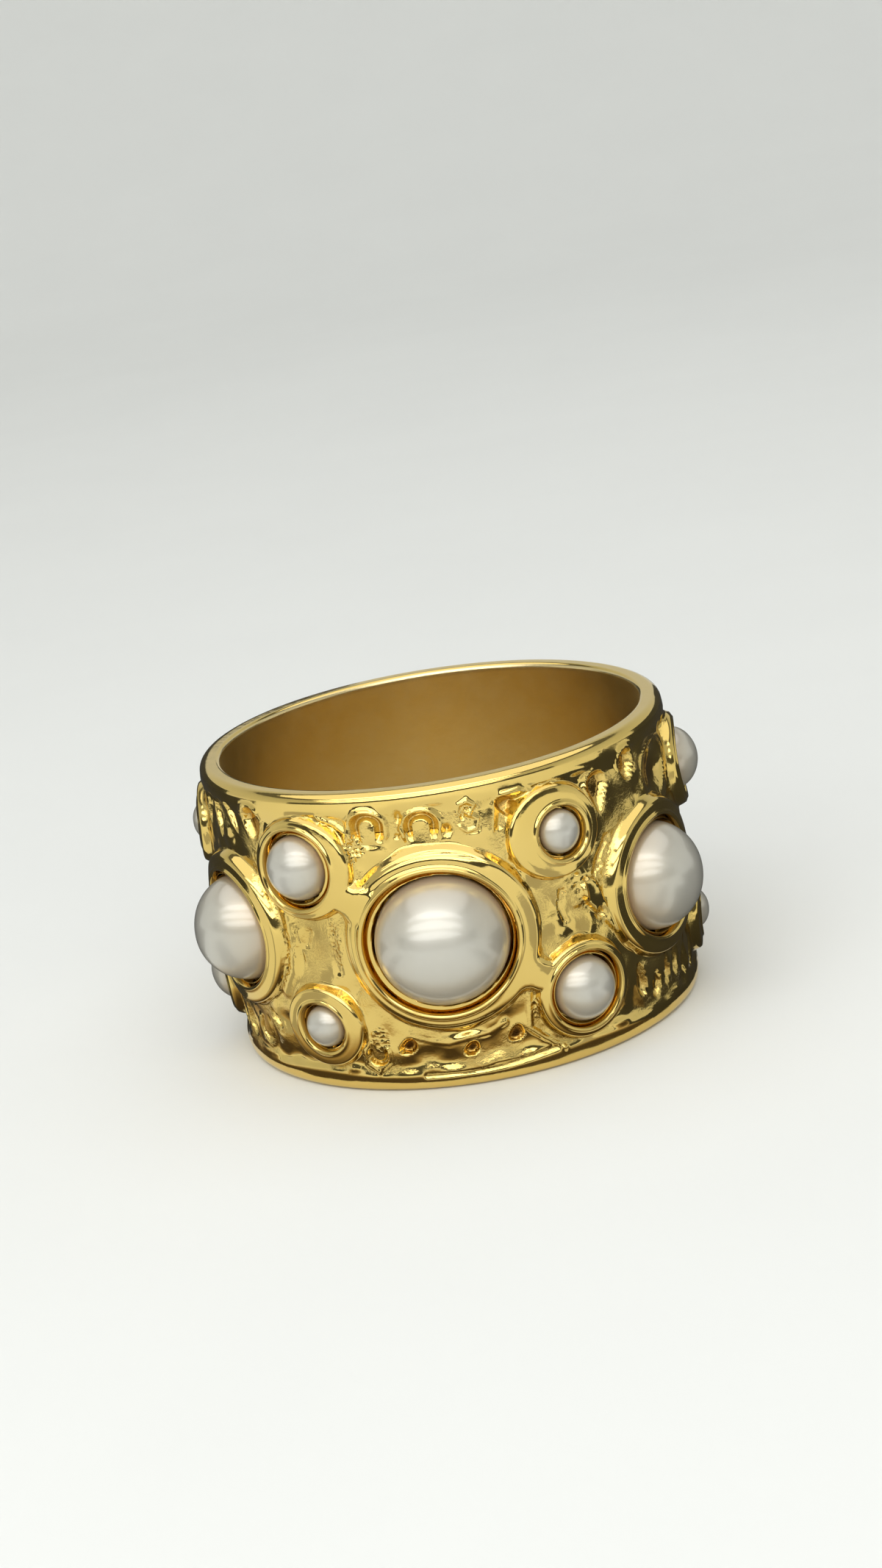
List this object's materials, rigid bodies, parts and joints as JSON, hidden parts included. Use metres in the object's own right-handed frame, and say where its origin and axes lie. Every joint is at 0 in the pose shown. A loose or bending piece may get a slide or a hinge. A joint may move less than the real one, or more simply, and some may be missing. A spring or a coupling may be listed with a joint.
{
  "type": "dome ring with pearl cabochons",
  "caption": "Wide gold-coloured cast band ring with cream pearl cabochons in raised round collars, smooth rims and a row of scoops along each rim.",
  "frame": {"origin": "middle of the finger hole, on its axis, half way between the two edge faces", "axes": "+Z along the finger hole's axis, towards the wearer's hand; -Y out of the ring through the front pearl"},
  "size_m": [0.0226, 0.0229, 0.013],
  "materials": {
    "gold": "polished gold plate over a slightly uneven cast surface",
    "pearl": "cream imitation pearl, soft nacre gloss"
  },
  "bodies": {
    "root": {"band": "gold", "pearl_centre": "pearl", "pearl_right_large": "pearl", "pearl_left_large": "pearl", "pearl_right_low_medium": "pearl", "pearl_left_high_medium": "pearl", "pearl_right_high_small": "pearl", "pearl_left_low_small": "pearl", "pearl_side_right_high_medium": "pearl", "pearl_side_left_low_medium": "pearl", "pearl_side_right_low_small": "pearl", "pearl_side_left_high_small": "pearl"}
  },
  "joints": []
}
